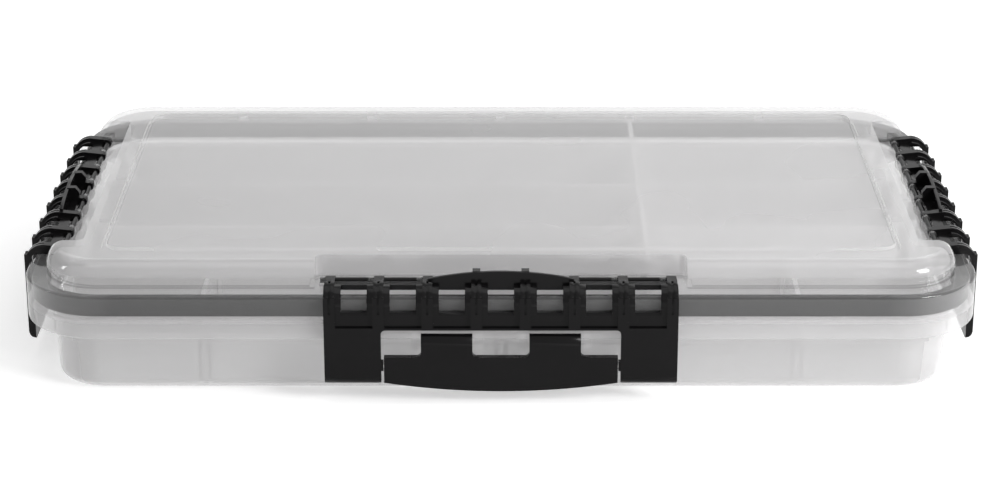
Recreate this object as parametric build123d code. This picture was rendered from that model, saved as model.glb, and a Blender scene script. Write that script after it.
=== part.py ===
from build123d import *
import os
from math import cos, radians, sin

# A waterproof tackle box: a tray under a hinged lid, a gasket in the lid's rim,
# and a cam latch on the front, the left and the right.
# Millimetres. X runs to the right, the front faces -Y, Z is up from the table.

# The whole box
rim_width = 350.0
rim_depth = 211.0
rim_radius = 29.0
split_height = 30.5
split_gap = 0.2
wall = 2.0
skirt_wall = 2.0

# The tray
skirt_height = 6.1
rim_web = 2.0
rim_bottom_round = 1.0
body_inset = 9.6
body_wall = 2.4
body_draft = 1.5
body_bottom_round = 4.5
band_height = 5.6
band_reach = 0.5
floor_thickness = 2.0
tongue_width = 2.4
tongue_height = 1.8

# The rows and columns inside the tray
row_count = 4
column_count = 6
partition_thickness = 1.8
partition_top_gap = 1.2
partition_end_gap = 1.8
cross_wall_column = 4
cross_wall_end_gap = 1.5
slot_rib_width = 1.4
slot_rib_reach = 1.8
slot_drop = 0.3
divider_thickness = 1.6
divider_clearance = 0.25
divider_rise = 5.5
divider_spots = [(1, 0), (5, 0), (2, 1), (5, 1), (1, 2), (3, 2)]

# The lid
lid_rim_height = 10.5
ledge_round = 1.2
platform_height = 9.5
platform_inset = 7.5
platform_back_inset = 14.5
platform_round = 6.5
panel_sink = 1.3
panel_side_margin = 29.3
panel_front_margin = 24.8
panel_back_margin = 29.3
panel_radius = 7.0
stop_width = 4.0
stop_height = 2.4
stop_reach = 1.5
channel_width = 5.4
channel_wall = 1.5
channel_wall_gap = 1.1

# The gasket
gasket_gap = 0.4
gasket_side_gap = 0.15

# The hinge at the back
hinge_offset = 92.0
hinge_axis_rise = 0.7
knuckle_radius = 2.9
knuckle_side_gap = 0.5
knuckle_length = 8.0
knuckle_gap = 0.4
knuckle_count = 5
hinge_pin_radius = 1.25
pin_clearance = 0.05
hinge_web_height = 5.0

# The latch frame, across: fins, windows and legs
latch_width = 127.7
fin_count = 8
fin_width = 3.6
fin_groove_width = 0.8
fin_groove_depth = 0.5
rib_width = 4.2
window_width = 9.4
gusset_width = 2.8
opening_width = 86.6
opening_round = 1.6
leg_round = 1.5
notch_clearance = 3.6
notch_back_gap_front = 6.2
notch_back_gap_side = 9.3
side_notch_front_clearance = 8.1
notch_round = 2.5
side_latch_shift = 1.1

# The latch frame, outward and inward from the rim's face
latch_face_out = 3.0
latch_inner_out = 1.0
fin_apex_in = 4.5
rod_in = 11.4
rod_radius = 1.0
rod_end_setback = 0.3
fin_knuckle_radius = 1.6
lug_radius = 1.5
lug_width = 2.0
lug_gap = 0.3
bar_outer_in = 5.8
bar_inner_in = 9.6
recess_depth = 1.2
lift_lip_in = 4.8
lift_lip_thickness = 1.3
gusset_top_in = 8.6
gusset_point_in = 10.3
gusset_foot_in = 9.4
leg_foot_round = 3.4

# The latch frame, upward from the lid's ledge or from the split
rod_rise = 1.95
fin_rise = 4.3
fin_arm_turn = 25.0
arch_split_turn = 45.0
bar_rise = 2.3
bar_gap = 0.35
rib_rise = 0.5
window_rise = 4.85
sill_drop = 3.4
recess_drop = 0.6
opening_drop = 1.4
latch_bottom = 7.4
lift_lip_span = 3
lift_lip_foot = 1.5
lift_lip_rise = 3.5
lift_lip_end_rise = 0.6
gusset_rise = 3.4
gusset_point_rise = 1.2
leg_pad_rise = 7.7

# The paddle
paddle_side_gap = 1.0
paddle_inner_out = 0.35
paddle_lip_corner = 8.5
paddle_lip_middle = 4.9
paddle_axis_drop = 3.6
head_width = 18.6
head_spacing = 39.2
head_height = 8.4
head_gap = 0.6
head_tip = 0.55
head_curve = 3.9
head_base_round = 1.6
pivot_pin_radius = 0.8
pivot_boss_height = 3.6
pivot_boss_length = 0.8
pivot_boss_setback = 0.3
pivot_pin_length = 9.0
pivot_pin_in_leg = 4.0
pin_end_gap = 0.25
paddle_crease_height = 9.6
crease_slope = 0.9

# The catches under the tray's rim, where the cam heads bear
catch_rise = 3.3
catch_side_gap = 0.7
catch_rib_width = 3.0
catch_rib_drop = 3.7
catch_rib_setback = 0.4

# How far a cut runs past a face, and how far a joined piece sinks into its wall
overlap = 1.0
embed = 0.4
same_place = 0.01

# Heights worked out from the sizes above
rim_top = split_height - split_gap
rim_bottom = rim_top - skirt_height
band_bottom = rim_bottom - band_height
ledge_height = split_height + lid_rim_height
lid_top = ledge_height + platform_height
partition_top = lid_top - panel_sink - wall - partition_top_gap
divider_top = split_height + divider_rise
channel_wall_bottom = split_height + channel_wall_gap
gasket_bottom = rim_top + tongue_height + gasket_gap
hinge_axis_height = split_height + hinge_axis_rise
rod_height = ledge_height + rod_rise
fin_apex_height = ledge_height + fin_rise
bar_top = ledge_height + bar_rise
bar_bottom = ledge_height + bar_gap
rib_top = ledge_height + rib_rise
window_bottom = split_height + window_rise
recess_bottom = split_height - recess_drop
opening_top = split_height - opening_drop
catch_height = rim_bottom + catch_rise
catch_rib_bottom = rim_bottom - catch_rib_drop
head_top = catch_height - head_gap
head_curve_start = head_top - head_curve
paddle_top = head_top - head_height
paddle_axis_height = paddle_top - paddle_axis_drop
leg_pad_top = paddle_axis_height + leg_pad_rise

# Places worked out from the sizes above
hinge_axis_out = knuckle_radius + knuckle_side_gap
knuckle_reach = hinge_axis_out + knuckle_radius
rim_y = (latch_face_out - knuckle_reach) / 2
rim_front = rim_y - rim_depth / 2
rim_back = rim_y + rim_depth / 2
tongue_inset = skirt_wall + (channel_width - tongue_width) / 2
platform_front = rim_front + platform_inset
platform_back = rim_back - platform_back_inset
platform_y = (platform_front + platform_back) / 2
panel_width = rim_width - 2 * panel_side_margin
panel_front = rim_front + panel_front_margin
panel_back = rim_back - panel_back_margin
panel_y = (panel_front + panel_back) / 2
cavity_inset = body_inset + body_wall
inner_width = rim_width - 2 * cavity_inset
inner_depth = rim_depth - 2 * cavity_inset
row_depth = (inner_depth - (row_count - 1) * partition_thickness) / row_count
column_pitch = inner_width / column_count
row_pitch = row_depth + partition_thickness
hinge_axis_y = rim_back + hinge_axis_out
hinge_length = knuckle_count * knuckle_length + (knuckle_count - 1) * knuckle_gap
fin_pitch = (latch_width - rib_width) / (fin_count - 1)
notch_wall_front = rod_in + notch_back_gap_front
notch_wall_side = rod_in + notch_back_gap_side
paddle_width = opening_width - 2 * paddle_side_gap
paddle_axis_out = (latch_face_out + paddle_inner_out) / 2
rod_bore_radius = rod_radius + pin_clearance


def rounded_block(width, depth, radius, bottom, top, y=rim_y):
    """A rounded rectangle between two heights."""
    outline = RectangleRounded(width, depth, radius)
    return Pos(0, y, bottom) * extrude(outline, top - bottom)


def ring_block(outer_inset, inner_inset, bottom, top):
    """A ring that follows the rim, between two distances from its outer face."""
    outer = rounded_block(
        rim_width - 2 * outer_inset, rim_depth - 2 * outer_inset, rim_radius - outer_inset, bottom, top
    )
    inner = rounded_block(
        rim_width - 2 * inner_inset, rim_depth - 2 * inner_inset, rim_radius - inner_inset,
        bottom - overlap, top + overlap,
    )
    return outer - inner


def span_box(x0, x1, y0, y1, z0, z1):
    """A box between two corners."""
    return Pos((x0 + x1) / 2, (y0 + y1) / 2, (z0 + z1) / 2) * Box(x1 - x0, y1 - y0, z1 - z0)


def rod_along_x(radius, x0, x1, y, z):
    """A round bar along X between two ends, given in either order."""
    return Pos((x0 + x1) / 2, y, z) * Rot(0, 90, 0) * Cylinder(radius, abs(x1 - x0))


def edges_at(shape, height):
    """The level edges of a shape that lie at a height."""
    low, high = height - same_place, height + same_place
    return [
        edge for edge in shape.edges()
        if edge.bounding_box().min.Z > low and edge.bounding_box().max.Z < high
    ]


def outline_along_x(edges, x0, x1):
    """A closed outline drawn with Y across and Z up, extruded along X."""
    return extrude(Plane.YZ.offset(x0) * make_face(edges), x1 - x0)


def profile_along_x(points, x0, x1):
    """A closed outline of (y, z) points, extruded along X."""
    return outline_along_x(Polyline(*points, close=True).edges(), x0, x1)


# Where the latches stand: a name, the turn about Z and the middle of the rim's face there
latch_places = {
    "front": (0, 0.0, rim_front),
    "left": (-90, -rim_width / 2, rim_y - side_latch_shift),
    "right": (90, rim_width / 2, rim_y - side_latch_shift),
}


def at_latch(name, shape):
    """Moves a shape from latch space, where the rim's face is y = 0 and -y is outward."""
    turn, x, y = latch_places[name]
    return Pos(x, y, 0) * Rot(0, 0, turn) * shape


def fin_places():
    """The middle of each fin along the latch."""
    return [(i - (fin_count - 1) / 2) * fin_pitch for i in range(fin_count)]


def lug_places():
    """The middle of each lug that carries the rod, one close beside each fin."""
    return [x - fin_width / 2 - lug_gap - lug_width / 2 for x in fin_places()]


def rod_ends():
    """The two ends of the row of lugs and fins that the rod runs through."""
    return lug_places()[0] - lug_width / 2, fin_places()[-1] + fin_width / 2


def head_places():
    """The middle of each cam head along the paddle."""
    return [-head_spacing / 2, head_spacing / 2]


def row_bounds(row):
    """The front and back of one row of the tray."""
    front = rim_front + cavity_inset + row * row_pitch
    return front, front + row_depth


def column_x(column):
    """The middle of a divider's slot."""
    return (column - column_count / 2) * column_pitch


def slot_columns():
    """The columns that take a divider: all but the one that holds the fixed cross wall."""
    return [column for column in range(1, column_count) if column != cross_wall_column]


def tray_walls():
    """The long partitions and the cross wall, each low out to the tray's wall and high under the lid."""
    low, bottom = rim_top - slot_drop, floor_thickness - embed
    half = inner_width / 2 + embed
    high_half = rim_width / 2 - notch_wall_side - wall - partition_end_gap
    walls = []
    for row in range(1, row_count):
        front, _ = row_bounds(row)
        for reach, top in ((half, low), (high_half, partition_top)):
            walls.append(span_box(-reach, reach, front - partition_thickness, front, bottom, top))
    x0 = column_x(cross_wall_column) - partition_thickness / 2
    ends = (
        (rim_front + cavity_inset - embed, rim_back - cavity_inset + embed, low),
        (rim_front + notch_wall_front + wall + cross_wall_end_gap,
         platform_back - wall - cross_wall_end_gap, partition_top),
    )
    for y0, y1, top in ends:
        walls.append(span_box(x0, x0 + partition_thickness, y0, y1, bottom, top))
    return walls


def tray_slots():
    """Pairs of small ribs that hold a divider upright, on both sides of each row."""
    ribs = []
    half_gap = divider_thickness / 2 + divider_clearance
    bottom, top = floor_thickness - embed, rim_top - slot_drop
    for row in range(row_count):
        front, back = row_bounds(row)
        for column in slot_columns():
            x = column_x(column)
            for x0 in (x - half_gap - slot_rib_width, x + half_gap):
                x1 = x0 + slot_rib_width
                ribs.append(span_box(x0, x1, front - embed, front + slot_rib_reach, bottom, top))
                ribs.append(span_box(x0, x1, back - slot_rib_reach, back + embed, bottom, top))
    return ribs


def tray_catches():
    """Ribs beside each cam head, from the rim's skirt back to the tray's wall."""
    ribs = []
    inner = head_width / 2 + catch_side_gap
    for name in latch_places:
        for x in head_places():
            for x0 in (x - inner - catch_rib_width, x + inner):
                rib = span_box(
                    x0, x0 + catch_rib_width, catch_rib_setback, body_inset + overlap,
                    catch_rib_bottom, rim_top - rim_web / 2,
                )
                ribs.append(at_latch(name, rib))
    return ribs


def catch_pockets():
    """The cuts in the rim's skirt that the cam heads tuck into."""
    half = head_width / 2 + catch_side_gap
    pockets = []
    for name in latch_places:
        for x in head_places():
            pocket = span_box(
                x - half, x + half, -overlap, skirt_wall + overlap, rim_bottom - overlap, catch_height
            )
            pockets.append(at_latch(name, pocket))
    return pockets


def hinge_knuckles(first):
    """Every other knuckle of both hinges, from the one given, before the bore is cut."""
    knuckles = []
    for side in (-1, 1):
        start = side * hinge_offset - hinge_length / 2
        for i in range(first, knuckle_count, 2):
            x0 = start + i * (knuckle_length + knuckle_gap)
            knuckles.append((x0, x0 + knuckle_length))
    return knuckles


def hinge_knuckle(x0, x1, web_bottom, web_top):
    """A knuckle and the web that joins it to the rim behind it."""
    web = span_box(x0, x1, rim_back - overlap, hinge_axis_y, web_bottom, web_top)
    return web + rod_along_x(knuckle_radius, x0, x1, hinge_axis_y, hinge_axis_height)


def hinge_bores():
    """The bores of both hinges."""
    bores = []
    for side in (-1, 1):
        x = side * hinge_offset
        reach = hinge_length / 2 + overlap
        bores.append(rod_along_x(
            hinge_pin_radius + pin_clearance, x - reach, x + reach, hinge_axis_y, hinge_axis_height
        ))
    return bores


def make_tray():
    """The tray: a drafted body, the rim, the rows, the slots, the catches and the hinge knuckles."""
    web_bottom = rim_top - rim_web
    body_top = RectangleRounded(
        rim_width - 2 * body_inset, rim_depth - 2 * body_inset, rim_radius - body_inset
    )
    body = Pos(0, rim_y, web_bottom) * extrude(body_top, web_bottom, dir=(0, 0, -1), taper=body_draft)
    body = fillet(edges_at(body, 0), body_bottom_round)
    band_inset = body_inset - band_reach
    band = rounded_block(
        rim_width - 2 * band_inset, rim_depth - 2 * band_inset, rim_radius - band_inset,
        band_bottom, web_bottom,
    )
    rim = rounded_block(rim_width, rim_depth, rim_radius, rim_bottom, rim_top)
    rim = fillet(edges_at(rim, rim_bottom), rim_bottom_round)
    rim = rim - rounded_block(
        rim_width - 2 * skirt_wall, rim_depth - 2 * skirt_wall, rim_radius - skirt_wall,
        rim_bottom - overlap, web_bottom,
    )
    tray = rim + body + band - catch_pockets() + tray_catches()
    tray = tray - rounded_block(
        inner_width, inner_depth, rim_radius - cavity_inset, floor_thickness, rim_top + overlap
    )
    tongue = ring_block(
        tongue_inset, tongue_inset + tongue_width, rim_top - overlap, rim_top + tongue_height
    )
    tray = tray + tray_walls() + tray_slots() + tongue
    for x0, x1 in hinge_knuckles(0):
        tray = tray + hinge_knuckle(x0, x1, rim_top - hinge_web_height, rim_top)
    return tray - hinge_bores()


def notch_blocks(grow):
    """The recesses in the lid's platform behind the three latches, grown by a wall for the inside."""
    extra = side_notch_front_clearance - notch_clearance
    forms = {
        "front": (0, 0, notch_wall_front),
        "left": (extra, extra / 2, notch_wall_side),
        "right": (extra, -extra / 2, notch_wall_side),
    }
    blocks = []
    for name, (longer, shift, wall_in) in forms.items():
        width = latch_width + 2 * (notch_clearance + grow) + longer
        outline = RectangleRounded(width, 2 * (wall_in + grow), notch_round + grow)
        height = lid_top + overlap - ledge_height + grow
        block = Pos(shift, 0, ledge_height - grow) * extrude(outline, height)
        blocks.append(at_latch(name, block))
    return blocks


def lid_stops():
    """Small pads inside the lid's raised frame, one over each column of dividers."""
    pads = []
    top = lid_top - wall + embed
    front = rim_front + notch_wall_front + wall - embed
    back = platform_back - platform_round + stop_reach
    for column in range(1, column_count):
        x = column_x(column)
        for y0, y1 in ((front, panel_front - wall + embed), (panel_back + wall - embed, back)):
            pads.append(span_box(x - stop_width / 2, x + stop_width / 2, y0, y1, top - stop_height, top))
    for row in range(1, row_count):
        y = row_bounds(row)[0] - partition_thickness / 2
        inner = panel_width / 2 + wall - embed
        outer = rim_width / 2 - notch_wall_side - wall + embed
        for side in (-1, 1):
            x0, x1 = sorted((side * inner, side * outer))
            pads.append(span_box(x0, x1, y - stop_width / 2, y + stop_width / 2, top - stop_height, top))
    return pads


def lid_form(inward):
    """The lid's outside, or its inside when drawn inward by a wall."""
    width = rim_width - 2 * inward
    depth = rim_depth - 2 * inward
    bottom = split_height - (overlap if inward else 0)
    rim = rounded_block(width, depth, rim_radius - inward, bottom, ledge_height - inward)
    if not inward:
        rim = fillet(edges_at(rim, ledge_height), ledge_round)
    top = lid_top - inward
    platform = rounded_block(
        rim_width - 2 * (platform_inset + inward), platform_back - platform_front - 2 * inward,
        rim_radius - platform_inset - inward, ledge_height - inward - overlap, top, y=platform_y,
    )
    platform = fillet(edges_at(platform, top), platform_round - inward)
    platform = platform - notch_blocks(inward)
    panel = rounded_block(
        panel_width + 2 * inward, panel_back - panel_front + 2 * inward, panel_radius + inward,
        top - panel_sink, top + overlap, y=panel_y,
    )
    return rim + (platform - panel)


def latch_lug(x):
    """A lug on the lid's ledge that carries a latch's rod, in latch space."""
    x0, x1 = x - lug_width / 2, x + lug_width / 2
    barrel = rod_along_x(lug_radius, x0, x1, rod_in, rod_height)
    return barrel + span_box(
        x0, x1, rod_in - lug_radius, rod_in + lug_radius, ledge_height - overlap, rod_height
    )


def make_lid():
    """The lid: a thin shell with a sunken panel, notches for the latches and the gasket's channel."""
    lid = lid_form(0) - lid_form(wall)
    channel_inner = skirt_wall + channel_width
    channel_top = ledge_height - wall + embed
    lid = lid + lid_stops() + ring_block(
        channel_inner, channel_inner + channel_wall, channel_wall_bottom, channel_top
    )
    rod_start, rod_end = rod_ends()
    bore = rod_along_x(rod_bore_radius, rod_start - overlap, rod_end, rod_in, rod_height)
    for name in latch_places:
        lid = lid + [at_latch(name, latch_lug(x)) for x in lug_places()] - at_latch(name, bore)
    web_bottom = split_height + split_gap
    for x0, x1 in hinge_knuckles(1):
        lid = lid + hinge_knuckle(x0, x1, web_bottom, web_bottom + hinge_web_height)
    return lid - hinge_bores()


def make_gasket():
    """The gasket: a band that fills the lid's channel above the tray's tongue."""
    outer = skirt_wall + gasket_side_gap
    inner = skirt_wall + channel_width - gasket_side_gap
    return ring_block(outer, inner, gasket_bottom, ledge_height - wall)


def fin_outline():
    """A fin from the side: the front rib, the arch over the rim and the arm to the rod."""
    out, inner = -latch_face_out, -latch_inner_out
    arch = fin_apex_in + latch_face_out
    inner_arch = fin_apex_in + latch_inner_out
    centre = (fin_apex_in, fin_apex_height - arch)
    outer_curve = CenterArc(centre, arch, 180, -90)
    inner_curve = CenterArc(centre, inner_arch, 180, -arch_split_turn)
    top = (rod_in, rod_height + fin_knuckle_radius)
    under = (
        rod_in - fin_knuckle_radius * sin(radians(fin_arm_turn)),
        rod_height - fin_knuckle_radius * cos(radians(fin_arm_turn)),
    )
    return [
        outer_curve,
        Line(outer_curve @ 1, top),
        Line(top, under),
        Line(under, inner_curve @ 1),
        inner_curve,
        Line((inner, centre[1]), (inner, recess_bottom)),
        Line((inner, recess_bottom), (out, recess_bottom)),
        Line((out, recess_bottom), (out, centre[1])),
    ]


def fin_groove_outline():
    """The shallow groove along a fin's outer edge, cut from past the fin's face."""
    arch = fin_apex_in + latch_face_out
    centre = (fin_apex_in, fin_apex_height - arch)
    outer_curve = CenterArc(centre, arch + overlap, 180, -90)
    inner_curve = CenterArc(centre, arch - fin_groove_depth, 180, -90)
    outer_foot = (-latch_face_out - overlap, window_bottom)
    inner_foot = (fin_groove_depth - latch_face_out, window_bottom)
    return [
        outer_curve, inner_curve, Line(outer_curve @ 1, inner_curve @ 1), Line(inner_curve @ 0, inner_foot),
        Line(inner_foot, outer_foot), Line(outer_foot, outer_curve @ 0),
    ]


def arch_outline():
    """The recessed skin between the fins, which follows the arch and drops to the bar behind it."""
    out, inner = recess_depth - latch_face_out, -latch_inner_out
    centre = (fin_apex_in, fin_apex_height - fin_apex_in - latch_face_out)
    low = recess_bottom - overlap
    outer_curve = CenterArc(centre, fin_apex_in - out, 180, -90)
    inner_curve = CenterArc(centre, fin_apex_in - inner, 180, -90)
    bar = [
        outer_curve @ 1, (bar_outer_in, bar_top), (bar_inner_in, bar_top),
        (bar_inner_in, bar_bottom), (bar_outer_in, bar_bottom), inner_curve @ 1,
    ]
    plate = [(inner, centre[1]), (inner, low), (out, low), (out, centre[1])]
    return [outer_curve, inner_curve] + list(Polyline(*bar).edges()) + list(Polyline(*plate).edges())


def latch_plate():
    """The lower plate of the frame, with its two legs and rounded corners."""
    half = latch_width / 2
    middle = (latch_bottom + recess_bottom) / 2
    outline = Pos(0, middle) * Rectangle(latch_width, recess_bottom - latch_bottom)
    opening_low = latch_bottom - 2 * opening_round
    opening = Pos(0, (opening_low + opening_top) / 2) * RectangleRounded(
        opening_width, opening_top - opening_low, opening_round
    )
    outline = outline - opening
    feet = [v for v in outline.vertices() if abs(v.Y - latch_bottom) < same_place]
    outline = fillet(feet, leg_round)
    plate = extrude(Plane.XZ.offset(latch_inner_out) * outline, latch_face_out - latch_inner_out)
    pads = []
    for side in (-1, 1):
        x = side * (opening_width / 2 + half) / 2
        pad_width = half - opening_width / 2
        pad = Pos(x, (latch_bottom + leg_pad_top) / 2) * RectangleRounded(
            pad_width, leg_pad_top - latch_bottom, leg_round
        )
        pads.append(extrude(Plane.XZ.offset(paddle_inner_out) * pad, latch_inner_out - paddle_inner_out))
        edge = side * opening_width / 2
        pads.append(span_box(
            edge - pivot_boss_length, edge + pivot_boss_length,
            -latch_face_out + pivot_boss_setback, -paddle_inner_out,
            paddle_axis_height - pivot_boss_height / 2, paddle_axis_height + pivot_boss_height / 2,
        ))
    return plate + pads - leg_corner()


def leg_corner():
    """What is cut off the legs so that their feet curve inward."""
    half = latch_width / 2 + overlap
    middle_in, middle_height = leg_foot_round - latch_face_out, latch_bottom + leg_foot_round
    corner = span_box(
        -half, half, -latch_face_out - overlap, middle_in, latch_bottom - overlap, middle_height
    )
    return corner - rod_along_x(leg_foot_round, -half, half, middle_in, middle_height)


def make_latch():
    """The latch frame in latch space: plate, fins, bar, windows, lift lip and pivots."""
    half = latch_width / 2
    frame = latch_plate() + outline_along_x(arch_outline(), -half, half)
    window = [
        (-latch_face_out - overlap, window_bottom - sill_drop), (-latch_inner_out, window_bottom),
        (bar_outer_in, window_bottom), (bar_outer_in, fin_apex_height),
        (-latch_face_out - overlap, fin_apex_height),
    ]
    for fin in fin_places()[:-1]:
        x = fin + fin_pitch / 2
        frame = frame - profile_along_x(window, x - window_width / 2, x + window_width / 2)
    for x in fin_places():
        x0, x1 = x - fin_width / 2, x + fin_width / 2
        frame = frame + outline_along_x(fin_outline(), x0, x1)
        frame = frame + rod_along_x(fin_knuckle_radius, x0, x1, rod_in, rod_height)
        frame = frame + span_box(
            x - rib_width / 2, x + rib_width / 2, -latch_face_out, -latch_inner_out,
            (recess_bottom + opening_top) / 2, rib_top,
        )
    for x in fin_places():
        half_groove = fin_groove_width / 2
        frame = frame - outline_along_x(fin_groove_outline(), x - half_groove, x + half_groove)
    frame = frame + lift_lip()
    for x in (-fin_pitch / 2, fin_pitch / 2):
        frame = frame + profile_along_x(gusset_points(), x - gusset_width / 2, x + gusset_width / 2)
    frame = frame - rod_along_x(rod_bore_radius, -half - overlap, half + overlap, rod_in, rod_height)
    return frame - pivot_bores()


def lift_lip():
    """The curved lip over the middle fins that a fingertip lifts."""
    half = lift_lip_span * fin_pitch / 2
    low = bar_top - lift_lip_foot
    top = fin_apex_height + lift_lip_end_rise
    arc = ThreePointArc((-half, top), (0, fin_apex_height + lift_lip_rise), (half, top))
    sides = Polyline((half, top), (half, low), (-half, low), (-half, top))
    outline = make_face(arc.edges() + sides.edges())
    return extrude(Plane.XZ.offset(-lift_lip_in - lift_lip_thickness) * outline, lift_lip_thickness)


def gusset_points():
    """The outline of a tall rib behind the lift lip."""
    back = lift_lip_in + lift_lip_thickness / 2
    top = fin_apex_height + gusset_rise
    return [
        (back, bar_top), (back, top), (gusset_top_in, top),
        (gusset_point_in, fin_apex_height + gusset_point_rise), (gusset_foot_in, bar_top),
    ]


def pivot_bores():
    """The bores for the paddle's pivot pins, in both legs."""
    radius = pivot_pin_radius + pin_clearance
    inner = opening_width / 2 - pivot_boss_length - overlap
    outer = opening_width / 2 + pivot_pin_in_leg + pin_end_gap
    return [
        rod_along_x(radius, side * inner, side * outer, -paddle_axis_out, paddle_axis_height)
        for side in (-1, 1)
    ]


def make_paddle():
    """The paddle in latch space: the pull plate, its curved lip and the two cam heads."""
    half = paddle_width / 2
    lip = ThreePointArc((-half, paddle_lip_corner), (0, paddle_lip_middle), (half, paddle_lip_corner))
    sides = Polyline(
        (half, paddle_lip_corner), (half, paddle_top), (-half, paddle_top), (-half, paddle_lip_corner)
    )
    outline = make_face(lip.edges() + sides.edges())
    for x in head_places():
        middle = (paddle_top - overlap + head_top) / 2
        outline = outline + Pos(x, middle) * Rectangle(head_width, head_top - paddle_top + overlap)
    on_top_edge = [v for v in outline.vertices() if abs(v.Y - paddle_top) < same_place]
    outline = fillet([v for v in on_top_edge if abs(v.X) < half - overlap], head_base_round)
    plate = extrude(Plane.XZ.offset(paddle_inner_out) * outline, latch_face_out - paddle_inner_out)
    out, inner = -latch_face_out, -paddle_inner_out
    section = [
        Line((inner, paddle_lip_middle - overlap), (out + crease_slope, paddle_lip_middle - overlap)),
        Line((out + crease_slope, paddle_lip_middle - overlap), (out, paddle_crease_height)),
        Line((out, paddle_crease_height), (out, head_curve_start)),
        TangentArc((out, head_curve_start), (inner - head_tip, head_top), tangent=(0, 1)),
        Line((inner - head_tip, head_top), (inner, head_top)),
        Line((inner, head_top), (inner, paddle_lip_middle - overlap)),
    ]
    paddle = plate & outline_along_x(section, -half - overlap, half + overlap)
    radius = pivot_pin_radius + pin_clearance
    inner = opening_width / 2 + pivot_pin_in_leg - pivot_pin_length - pin_end_gap
    return paddle - [
        rod_along_x(radius, side * inner, side * (half + overlap), -paddle_axis_out, paddle_axis_height)
        for side in (-1, 1)
    ]


def make_pivot_pins():
    """The two pins that the paddle turns on."""
    outer = opening_width / 2 + pivot_pin_in_leg
    inner = outer - pivot_pin_length
    return [
        rod_along_x(pivot_pin_radius, side * inner, side * outer, -paddle_axis_out, paddle_axis_height)
        for side in (-1, 1)
    ]


def make_rod():
    """The rod that the frame swings on, held in the lid's lugs."""
    rod_start, rod_end = rod_ends()
    return rod_along_x(
        rod_radius, rod_start + rod_end_setback, rod_end - rod_end_setback, rod_in, rod_height
    )


def make_divider(column, row):
    """A divider that drops into a pair of slots."""
    front, back = row_bounds(row)
    x = column_x(column)
    return span_box(
        x - divider_thickness / 2, x + divider_thickness / 2, front + divider_clearance,
        back - divider_clearance, floor_thickness, divider_top,
    )


def make_hinge_pin(side):
    """One hinge pin, as long as its row of knuckles."""
    x0, x1 = side * hinge_offset - hinge_length / 2, side * hinge_offset + hinge_length / 2
    return rod_along_x(hinge_pin_radius, x0, x1, hinge_axis_y, hinge_axis_height)


def save(name, shape):
    """Writes one sub-part."""
    export_step(shape, f"parts/{name}.step")


os.makedirs("parts", exist_ok=True)
save("tray", make_tray())
save("lid", make_lid())
save("gasket", make_gasket())
save("hinge_pin_left", make_hinge_pin(-1))
save("hinge_pin_right", make_hinge_pin(1))
latch_frame = make_latch()
latch_rod = make_rod()
latch_paddle = make_paddle()
for place in latch_places:
    save(f"{place}_latch_frame", at_latch(place, latch_frame))
    save(f"{place}_latch_rod", at_latch(place, latch_rod))
    save(f"{place}_paddle", at_latch(place, latch_paddle))
    save(f"{place}_paddle_pins", Compound(children=[at_latch(place, pin) for pin in make_pivot_pins()]))
for number, (column, row) in enumerate(divider_spots, start=1):
    save(f"divider_{number}", make_divider(column, row))
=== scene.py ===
"""The looks of a waterproof tackle box with three black latches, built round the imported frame."""

from math import radians

import bpy
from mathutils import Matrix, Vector


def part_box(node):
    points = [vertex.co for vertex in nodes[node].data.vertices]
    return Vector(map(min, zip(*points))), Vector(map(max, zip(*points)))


# Everything is in metres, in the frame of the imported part
MM = 0.001
WHITE = (1, 1, 1, 1)

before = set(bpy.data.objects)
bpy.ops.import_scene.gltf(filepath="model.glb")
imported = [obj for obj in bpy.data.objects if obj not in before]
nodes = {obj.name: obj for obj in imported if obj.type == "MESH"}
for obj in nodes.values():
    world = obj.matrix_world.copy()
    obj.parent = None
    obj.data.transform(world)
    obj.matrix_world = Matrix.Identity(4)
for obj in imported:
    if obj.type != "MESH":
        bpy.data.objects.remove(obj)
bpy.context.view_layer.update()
scene = bpy.context.scene

# Places on the box that its materials change at
lid_low, lid_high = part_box("lid")
gasket_low, gasket_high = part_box("gasket")
LEDGE = gasket_high.z + 2.0 * MM
RIM_BOTTOM = 24.2 * MM
RIM_MIDDLE = (gasket_low.y + gasket_high.y) / 2
LATCHES = ("front", "left", "right")


# The camera, fitted to the photograph
PHOTO_WIDTH = 1000
PHOTO_HEIGHT = 500
CAMERA_DISTANCE = 1.075
CAMERA_ELEVATION = 20.79
CAMERA_FOCUS_PX = 2702.0
CAMERA_CENTRE_PX = (500.9, 234.3)
CAMERA_CLIP = (0.01, 50.0)
AIM_HEIGHT = 25.0 * MM
SENSOR_MM = 36.0


def make_camera():
    """A camera at the photograph's angle, aimed at the middle of the rim."""
    data = bpy.data.cameras.new("camera")
    data.sensor_width = SENSOR_MM
    data.lens = CAMERA_FOCUS_PX * SENSOR_MM / PHOTO_WIDTH
    data.shift_x = (PHOTO_WIDTH / 2 - CAMERA_CENTRE_PX[0]) / PHOTO_WIDTH
    data.shift_y = (CAMERA_CENTRE_PX[1] - PHOTO_HEIGHT / 2) / PHOTO_WIDTH
    data.clip_start, data.clip_end = CAMERA_CLIP
    camera = bpy.data.objects.new("camera", data)
    scene.collection.objects.link(camera)
    camera.rotation_euler = (radians(90 - CAMERA_ELEVATION), 0, 0)
    bpy.context.view_layer.update()
    forward = camera.matrix_world.to_3x3() @ Vector((0, 0, -1))
    camera.location = Vector((0, RIM_MIDDLE, AIM_HEIGHT)) - forward * CAMERA_DISTANCE
    scene.camera = camera


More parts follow.
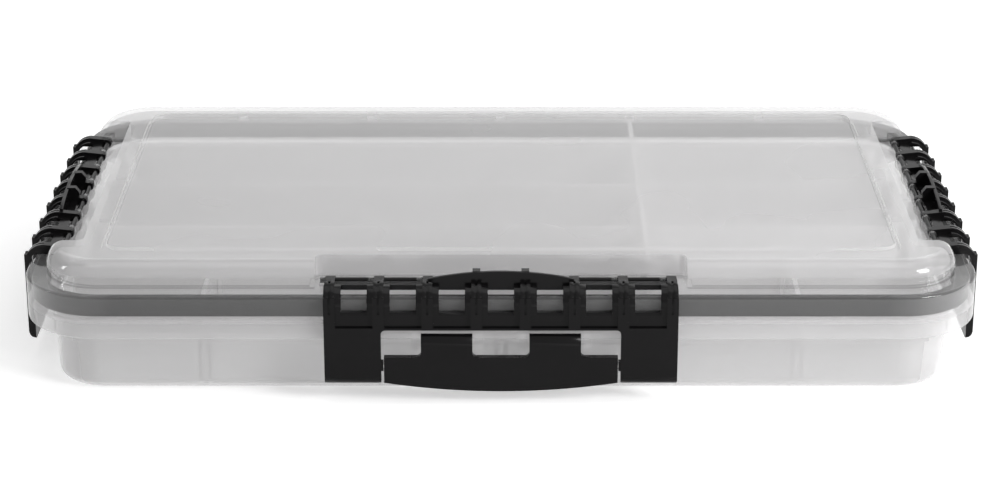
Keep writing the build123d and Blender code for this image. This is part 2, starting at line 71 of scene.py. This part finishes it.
# Each lamp's place, its width and height, and its watts
LAMP_AIM = (0, 0, 0.03)
LAMPS = {
    "key": ((0.64, -0.50, 0.44), (0.3, 0.3), 5.6),
    "left": ((-1.1, -0.15, 0.45), (0.14, 0.3), 1.8),
    "back": ((0.0, 1.1, 0.9), (1.8, 0.4), 2.0),
    "top": ((0.0, -0.1, 1.3), (1.2, 0.9), 4.9),
}


def add_lamp(name, place, size, watts):
    """A soft rectangular lamp that looks at the box."""
    data = bpy.data.lights.new(name, "AREA")
    data.shape = "RECTANGLE"
    data.size, data.size_y = size
    data.energy = watts
    lamp = bpy.data.objects.new(name, data)
    scene.collection.objects.link(lamp)
    lamp.location = place
    lamp.rotation_euler = (Vector(LAMP_AIM) - Vector(place)).to_track_quat("-Z", "Y").to_euler()


def seen_share(tree):
    """One where the camera, a gloss or clear glass looks, and nought where light is gathered."""
    path = tree.nodes.new("ShaderNodeLightPath")
    gathered = tree.nodes.new("ShaderNodeMath")
    gathered.operation = "SUBTRACT"
    gathered.use_clamp = True
    tree.links.new(path.outputs["Is Transmission Ray"], gathered.inputs[0])
    tree.links.new(path.outputs["Is Diffuse Ray"], gathered.inputs[1])
    either = path.outputs["Is Camera Ray"]
    for other in (path.outputs["Is Glossy Ray"], gathered.outputs[0]):
        most = tree.nodes.new("ShaderNodeMath")
        most.operation = "MAXIMUM"
        tree.links.new(either, most.inputs[0])
        tree.links.new(other, most.inputs[1])
        either = most.outputs[0]
    return either


WORLD_LIGHT = 0.17
WORLD_SEEN = 1.0


def make_world():
    """A plain pale world that is white where it is looked at."""
    world = bpy.data.worlds.new("studio")
    scene.world = world
    world.use_nodes = True
    tree = world.node_tree
    tree.nodes.clear()
    output = tree.nodes.new("ShaderNodeOutputWorld")
    mix = tree.nodes.new("ShaderNodeMixShader")
    light = tree.nodes.new("ShaderNodeBackground")
    seen = tree.nodes.new("ShaderNodeBackground")
    light.inputs["Strength"].default_value = WORLD_LIGHT
    light.inputs["Color"].default_value = WHITE
    seen.inputs["Strength"].default_value = WORLD_SEEN
    seen.inputs["Color"].default_value = WHITE
    tree.links.new(seen_share(tree), mix.inputs["Fac"])
    tree.links.new(light.outputs[0], mix.inputs[1])
    tree.links.new(seen.outputs[0], mix.inputs[2])
    tree.links.new(mix.outputs[0], output.inputs["Surface"])


FLOOR_HALF = 4.0
FLOOR_COLOUR = (0.86, 0.86, 0.86, 1)

# The floor glows a little where it is looked at, and more away from the box
FLOOR_LIFT_NEAR = 0.42
FLOOR_LIFT_FAR = 0.85
LIFT_STARTS = 0.15
LIFT_ENDS = 0.35


def make_floor():
    """A white floor that keeps a faint shadow of the box."""
    mesh = bpy.data.meshes.new("floor")
    corners = [(x * FLOOR_HALF, y * FLOOR_HALF, 0) for x, y in ((-1, -1), (1, -1), (1, 1), (-1, 1))]
    mesh.from_pydata(corners, [], [(0, 1, 2, 3)])
    floor = bpy.data.objects.new("floor", mesh)
    scene.collection.objects.link(floor)
    material = bpy.data.materials.new("floor_white")
    material.use_nodes = True
    tree = material.node_tree
    tree.nodes.clear()
    output = tree.nodes.new("ShaderNodeOutputMaterial")
    add = tree.nodes.new("ShaderNodeAddShader")
    matt = tree.nodes.new("ShaderNodeBsdfDiffuse")
    glow = tree.nodes.new("ShaderNodeEmission")
    place = tree.nodes.new("ShaderNodeTexCoord")
    away = tree.nodes.new("ShaderNodeVectorMath")
    away.operation = "LENGTH"
    lift = tree.nodes.new("ShaderNodeMapRange")
    lift.interpolation_type = "SMOOTHSTEP"
    for socket, value in zip(lift.inputs[1:5], (LIFT_STARTS, LIFT_ENDS, FLOOR_LIFT_NEAR, FLOOR_LIFT_FAR)):
        socket.default_value = value
    scale = tree.nodes.new("ShaderNodeMath")
    scale.operation = "MULTIPLY"
    matt.inputs["Color"].default_value = FLOOR_COLOUR
    tree.links.new(place.outputs["Object"], away.inputs[0])
    tree.links.new(away.outputs["Value"], lift.inputs["Value"])
    tree.links.new(seen_share(tree), scale.inputs[0])
    tree.links.new(lift.outputs[0], scale.inputs[1])
    tree.links.new(scale.outputs[0], glow.inputs["Strength"])
    tree.links.new(matt.outputs[0], add.inputs[0])
    tree.links.new(glow.outputs[0], add.inputs[1])
    tree.links.new(add.outputs[0], output.inputs["Surface"])
    mesh.materials.append(material)


class Shader:
    """A small helper that adds nodes to one material and wires them."""

    def __init__(self, name):
        self.material = bpy.data.materials.new(name)
        self.material.use_nodes = True
        self.tree = self.material.node_tree
        self.tree.nodes.clear()
        self.output = self.tree.nodes.new("ShaderNodeOutputMaterial")

    def node(self, kind, **values):
        """A node with inputs set to numbers or other outputs, by name, or by number as in0, in1 and so on."""
        node = self.tree.nodes.new(kind)
        for key, value in values.items():
            socket = node.inputs[key.replace("_", " ")] if not key.startswith("in") else node.inputs[int(key[2:])]
            if isinstance(value, bpy.types.NodeSocket):
                self.tree.links.new(value, socket)
            else:
                socket.default_value = value
        return node

    def finish(self, surface):
        """Wires the surface to the output and hands over the material."""
        self.tree.links.new(surface, self.output.inputs["Surface"])
        return self.material


# Noise keeps mostly between these, so its swings are spread over them
NOISE_LOW = 0.3
NOISE_HIGH = 0.7


def noise(shader, scale, detail):
    """Noise in the object's own metres, so it stays put when the piece moves."""
    place = shader.node("ShaderNodeTexCoord")
    field = shader.node("ShaderNodeTexNoise", Vector=place.outputs["Object"], Scale=scale, Detail=detail)
    return field.outputs["Fac"]


def ramp(shader, value, low, high, start, end):
    """A value carried from one range to another, and held at its ends."""
    return shader.node("ShaderNodeMapRange", in0=value, in1=low, in2=high, in3=start, in4=end).outputs[0]


def bumped(shader, height, strength, distance):
    """The surface's direction, tilted by small heights."""
    return shader.node("ShaderNodeBump", Strength=strength, Distance=distance, Height=height).outputs[0]


def mixed(shader, factor, first, second):
    """Two surfaces mixed, all the first at nought and all the second at one."""
    return shader.node("ShaderNodeMixShader", Fac=factor, in1=first, in2=second).outputs[0]


def two_colours(shader, share, first, second):
    """A colour between two others."""
    tint = shader.node("ShaderNodeValToRGB", Fac=share)
    tint.color_ramp.elements[0].color = first
    tint.color_ramp.elements[1].color = second
    return tint.outputs[0]


def calc(shader, operation, *values):
    """One sum on numbers or on other nodes' outputs."""
    node = shader.node("ShaderNodeMath", **{f"in{i}": value for i, value in enumerate(values)})
    node.operation = operation
    return node.outputs[0]


def axes(shader):
    """The X, Y and Z of a point in the object's own metres."""
    place = shader.node("ShaderNodeTexCoord")
    return shader.node("ShaderNodeSeparateXYZ", in0=place.outputs["Object"]).outputs


# How milky each region is, from clear at nought to solid at one
TRAY_HAZE = 0.34
SKIRT_HAZE = 0.30
INSIDE_EXTRA = 0.30
LID_HAZE = 0.30
# A whiter haze on the panel's upright step, as a painted highlight line
STEP_HIGHLIGHT_HAZE = 0.75
LIP_HAZE = 0.24
RIM_HAZE = 0.06
# The haze of the thin painted shade line at the foot of the lid's raised part
CREASE_SHADE_HAZE = 0.3
DIVIDER_HAZE = 0.26
DIVIDER_EDGE_HAZE = DIVIDER_HAZE * 1.6

# The lid's sunken panel and the upright step round it, which gets a painted highlight as a whiter haze
PANEL_HALF_X = 145.7 * MM
PANEL_FRONT = -82.35 * MM
PANEL_BACK = 74.55 * MM
STEP_MARGIN = 2.3 * MM
STEP_OVER_LEDGE = 5 * MM
UPRIGHT_UNDER = 0.5


def panel_step(shader):
    """One on the small upright step round the lid's sunken panel, where a painted highlight line goes."""
    across, depth, height = axes(shader)
    place = shader.node("ShaderNodeTexCoord")
    facing = shader.node("ShaderNodeSeparateXYZ", in0=place.outputs["Normal"])
    middle = (PANEL_FRONT + PANEL_BACK) / 2
    half_y = (PANEL_BACK - PANEL_FRONT) / 2 + STEP_MARGIN
    tests = [
        calc(shader, "LESS_THAN", calc(shader, "ABSOLUTE", across), PANEL_HALF_X + STEP_MARGIN),
        calc(shader, "LESS_THAN", calc(shader, "ABSOLUTE", calc(shader, "SUBTRACT", depth, middle)), half_y),
        calc(shader, "LESS_THAN", calc(shader, "ABSOLUTE", facing.outputs["Z"]), UPRIGHT_UNDER),
        calc(shader, "GREATER_THAN", height, LEDGE + STEP_OVER_LEDGE),
    ]
    found = tests[0]
    for test in tests[1:]:
        found = calc(shader, "MULTIPLY", found, test)
    return found


# The lid turns milky just above its ledge, and below the gasket
MILKY_FROM = LEDGE - 0.5 * MM
MILKY_TO = LEDGE + 2.5 * MM
LIP_FADE = 0.6 * MM

# How far in from the lid's outline its clear lugs stand, and how high over the ledge
LUG_REACH = 13.5 * MM
LUG_TOP = 4.0 * MM


def lid_haze(shader):
    """Clear over the gasket and in the lugs, milky below the gasket and in the raised part, with a painted
    highlight on the panel's upright step.
    """
    across, depth, height = axes(shader)
    upper = ramp(shader, height, MILKY_FROM, MILKY_TO, RIM_HAZE, LID_HAZE)
    lower = ramp(shader, height, gasket_low.z - LIP_FADE, gasket_low.z, LIP_HAZE, 0.0)
    at_side = calc(shader, "GREATER_THAN", calc(shader, "ABSOLUTE", across), lid_high.x - LUG_REACH)
    at_front = calc(shader, "LESS_THAN", depth, lid_low.y + LUG_REACH)
    outside = calc(shader, "MAXIMUM", at_side, at_front)
    near_ledge = calc(shader, "LESS_THAN", height, LEDGE + LUG_TOP)
    off_lugs = calc(shader, "SUBTRACT", 1.0, calc(shader, "MULTIPLY", outside, near_ledge))
    clear = calc(shader, "MULTIPLY_ADD", calc(shader, "SUBTRACT", upper, RIM_HAZE), off_lugs, RIM_HAZE)
    # The painted highlight: a whiter haze on the panel's upright step
    step_highlight = calc(shader, "MULTIPLY", panel_step(shader), STEP_HIGHLIGHT_HAZE)
    return calc(shader, "MAXIMUM", calc(shader, "MAXIMUM", clear, lower), step_highlight)


# A thin dark line of painted shade in the crease at the foot of the lid's raised part
CREASE_SHADE_FROM = LEDGE + 0.05 * MM
CREASE_SHADE_TO = LEDGE + 0.8 * MM
CREASE_SHADE_COLOUR = (0.1, 0.1, 0.1, 1)


def crease_shade(shader):
    """One in a thin line round the foot of the lid's raised part, where a dark line of painted shade goes."""
    height = axes(shader)[2]
    above = calc(shader, "GREATER_THAN", height, CREASE_SHADE_FROM)
    below = calc(shader, "LESS_THAN", height, CREASE_SHADE_TO)
    return calc(shader, "MULTIPLY", above, below)


# The space inside the tray's walls, where its partitions and slot ribs stand
INSIDE_HALF_X = 162.7 * MM
INSIDE_HALF_Y = 93.2 * MM
INSIDE_FLOOR = 2.4 * MM
SKIRT_FADE = 2 * MM


def tray_haze(shader):
    """Milky walls, a paler skirt, and more of a haze on the partitions and slot ribs inside."""
    across, depth, height = axes(shader)
    outer = ramp(shader, height, RIM_BOTTOM - SKIRT_FADE, RIM_BOTTOM, TRAY_HAZE, SKIRT_HAZE)
    within_x = calc(shader, "LESS_THAN", calc(shader, "ABSOLUTE", across), INSIDE_HALF_X)
    from_middle = calc(shader, "ABSOLUTE", calc(shader, "SUBTRACT", depth, RIM_MIDDLE))
    within_y = calc(shader, "LESS_THAN", from_middle, INSIDE_HALF_Y)
    above = calc(shader, "GREATER_THAN", height, INSIDE_FLOOR)
    inside = calc(shader, "MULTIPLY", calc(shader, "MULTIPLY", within_x, within_y), above)
    return calc(shader, "MULTIPLY_ADD", inside, INSIDE_EXTRA, outer)


DIVIDER_EDGE_FROM = 34 * MM
DIVIDER_EDGE_TO = 36 * MM


def divider_haze(shader):
    """A thin even haze, a little stronger at the top edge."""
    height = axes(shader)[2]
    return ramp(shader, height, DIVIDER_EDGE_FROM, DIVIDER_EDGE_TO, DIVIDER_HAZE, DIVIDER_EDGE_HAZE)


MILK = (0.945, 0.94, 0.943, 1)
MILK_ROUGHNESS = 0.5
MILK_GLOW = 0.5
CLEAR_TINT = (0.995, 0.995, 0.995, 1)
CLEAR_IOR = 1.42
CLEAR_ROUGHNESS = 0.06
CLEAR_GRAIN = {"scale": 900.0, "detail": 3.0}
CLEAR_CLOUD = {"scale": 14.0, "detail": 2.0}
CLEAR_BUMP = {"strength": 0.02, "distance": 0.1 * MM}
HAZE_SWING = (0.93, 1.07)


def milky_plastic(name, haze_of, crease_shade_of=None):
    """Milky clear plastic: a pale haze over what lies behind it, with a gloss on top."""
    shader = Shader(name)
    colour = MILK
    normal = bumped(shader, noise(shader, **CLEAR_GRAIN), **CLEAR_BUMP)
    uneven = ramp(shader, noise(shader, **CLEAR_CLOUD), NOISE_LOW, NOISE_HIGH, *HAZE_SWING)
    haze = calc(shader, "MULTIPLY", haze_of(shader), uneven)
    # The thin painted shade line at the foot of the raised part: a darker colour and a thicker haze
    if crease_shade_of:
        line = crease_shade_of(shader)
        haze = calc(shader, "MAXIMUM", haze, calc(shader, "MULTIPLY", line, CREASE_SHADE_HAZE))
        colour = shader.node("ShaderNodeMixRGB", Fac=line, Color1=MILK, Color2=CREASE_SHADE_COLOUR).outputs[0]
    body = shader.node("ShaderNodeBsdfDiffuse", Color=colour, Roughness=MILK_ROUGHNESS, Normal=normal)
    glow = shader.node("ShaderNodeBsdfTranslucent", Color=colour, Normal=normal)
    milk = mixed(shader, MILK_GLOW, body.outputs[0], glow.outputs[0])
    clear = shader.node("ShaderNodeBsdfTransparent", Color=CLEAR_TINT)
    inside = mixed(shader, haze, clear.outputs[0], milk)
    gloss = shader.node("ShaderNodeBsdfGlossy", Color=WHITE, Roughness=CLEAR_ROUGHNESS, Normal=normal)
    edge = shader.node("ShaderNodeFresnel", IOR=CLEAR_IOR, Normal=normal)
    # Only the side that faces out has a gloss, or every wall would shine twice
    side = shader.node("ShaderNodeNewGeometry")
    outer = calc(shader, "SUBTRACT", 1.0, side.outputs["Backfacing"])
    shine = calc(shader, "MULTIPLY", edge.outputs[0], outer)
    return shader.finish(mixed(shader, shine, inside, gloss.outputs[0]))


BLACK_DEEP = (0.004, 0.0037, 0.004, 1)
BLACK_PALE = (0.008, 0.0075, 0.008, 1)
BLACK_ROUGHNESS = (0.12, 0.2)
BLACK_SPECULAR = 0.13
BLACK_GRAIN = {"scale": 1400.0, "detail": 3.0}
BLACK_CLOUD = {"scale": 60.0, "detail": 3.0}
BLACK_BUMP = {"strength": 0.07, "distance": 0.2 * MM}


def black_plastic():
    """Black moulded plastic with a fine grain and a soft shine."""
    shader = Shader("latch_plastic_black")
    normal = bumped(shader, noise(shader, **BLACK_GRAIN), **BLACK_BUMP)
    cloud = noise(shader, **BLACK_CLOUD)
    rough = ramp(shader, cloud, NOISE_LOW, NOISE_HIGH, *BLACK_ROUGHNESS)
    colour = two_colours(shader, cloud, BLACK_DEEP, BLACK_PALE)
    plastic = shader.node("ShaderNodeBsdfPrincipled", Base_Color=colour, Roughness=rough, Normal=normal)
    plastic.inputs["Specular IOR Level"].default_value = BLACK_SPECULAR
    return shader.finish(plastic.outputs[0])


RUBBER_DARK = (0.012, 0.0115, 0.012, 1)
# The pale end of the gasket's colour, reached a little by its grain and more by painted light at the corners
RUBBER_PALE_LIT = (0.22, 0.22, 0.22, 1)
RUBBER_ROUGHNESS = 0.45
RUBBER_GRAIN = {"scale": 500.0, "detail": 4.0}
RUBBER_GRAIN_SHARE = 0.008
RUBBER_BUMP = {"strength": 0.015, "distance": 0.1 * MM}

# How far from the middle the gasket starts to look paler, where that ends, and how far it goes: painted light for
# the lid's clear corners, through which the seal looks paler
CORNER_LIGHT_STARTS = 140.0 * MM
CORNER_LIGHT_ENDS = 171.0 * MM
CORNER_LIGHT_SHARE = 0.85


def soft_rubber():
    """Dark rubber with a dull face, with painted light that makes it paler where it bends round the corners."""
    shader = Shader("seal_rubber")
    grain = noise(shader, **RUBBER_GRAIN)
    normal = bumped(shader, grain, **RUBBER_BUMP)
    sideways = calc(shader, "ABSOLUTE", axes(shader)[0])
    # Painted light: the gasket turns paler towards the corners
    corner_light = ramp(shader, sideways, CORNER_LIGHT_STARTS, CORNER_LIGHT_ENDS, 0.0, CORNER_LIGHT_SHARE)
    share = calc(shader, "MULTIPLY_ADD", grain, RUBBER_GRAIN_SHARE, corner_light)
    colour = two_colours(shader, share, RUBBER_DARK, RUBBER_PALE_LIT)
    rubber = shader.node("ShaderNodeBsdfPrincipled", Base_Color=colour, Roughness=RUBBER_ROUGHNESS, Normal=normal)
    return shader.finish(rubber.outputs[0])


STEEL_COLOUR = (0.62, 0.61, 0.60, 1)
STEEL_ROUGHNESS = (0.25, 0.42)
STEEL_GRAIN = {"scale": 700.0, "detail": 4.0}


def drawn_steel():
    """Steel wire with an uneven shine."""
    shader = Shader("pin_steel")
    rough = ramp(shader, noise(shader, **STEEL_GRAIN), NOISE_LOW, NOISE_HIGH, *STEEL_ROUGHNESS)
    steel = shader.node("ShaderNodeBsdfPrincipled", Base_Color=STEEL_COLOUR, Metallic=1.0, Roughness=rough)
    return shader.finish(steel.outputs[0])


def finish_nodes():
    """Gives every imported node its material."""
    # The lid's material carries a painted highlight on its panel step and a painted shade line at the foot of its
    # raised part
    lid = milky_plastic("lid_milky", lid_haze, crease_shade)
    tray = milky_plastic("tray_milky", tray_haze)
    divider = milky_plastic("divider_milky", divider_haze)
    black, rubber, steel = black_plastic(), soft_rubber(), drawn_steel()
    for name, node in nodes.items():
        node.data.materials.clear()
        if name == "lid":
            node.data.materials.append(lid)
        elif name == "tray":
            node.data.materials.append(tray)
        elif name.startswith("divider"):
            node.data.materials.append(divider)
        elif name == "gasket":
            node.data.materials.append(rubber)
        elif "pin" in name:
            node.data.materials.append(steel)
        else:
            node.data.materials.append(black)


BEVEL_WIDTH = 0.35 * MM
BEVEL_SEGMENTS = 2
BEVEL_FROM_ANGLE = 35
MERGE_WITHIN = 0.01 * MM


def soften_edges(name):
    """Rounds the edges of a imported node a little, as a moulded piece has them."""
    node = nodes[name]
    weld = node.modifiers.new("weld", "WELD")
    weld.merge_threshold = MERGE_WITHIN
    bevel = node.modifiers.new("bevel", "BEVEL")
    bevel.width = BEVEL_WIDTH
    bevel.segments = BEVEL_SEGMENTS
    bevel.limit_method = "ANGLE"
    bevel.angle_limit = radians(BEVEL_FROM_ANGLE)
    bevel.use_clamp_overlap = True
    bevel.harden_normals = True


make_camera()
make_world()
for lamp_name, (lamp_place, lamp_size, lamp_watts) in LAMPS.items():
    add_lamp(lamp_name, lamp_place, lamp_size, lamp_watts)
make_floor()
finish_nodes()
for latch in LATCHES:
    soften_edges(f"{latch}_latch_frame")
    soften_edges(f"{latch}_paddle")

scene.view_settings.view_transform = "Standard"

# Light has to get through many clear walls, one behind the other
scene.cycles.transparent_max_bounces = 48
scene.cycles.max_bounces = 16
scene.cycles.diffuse_bounces = 10
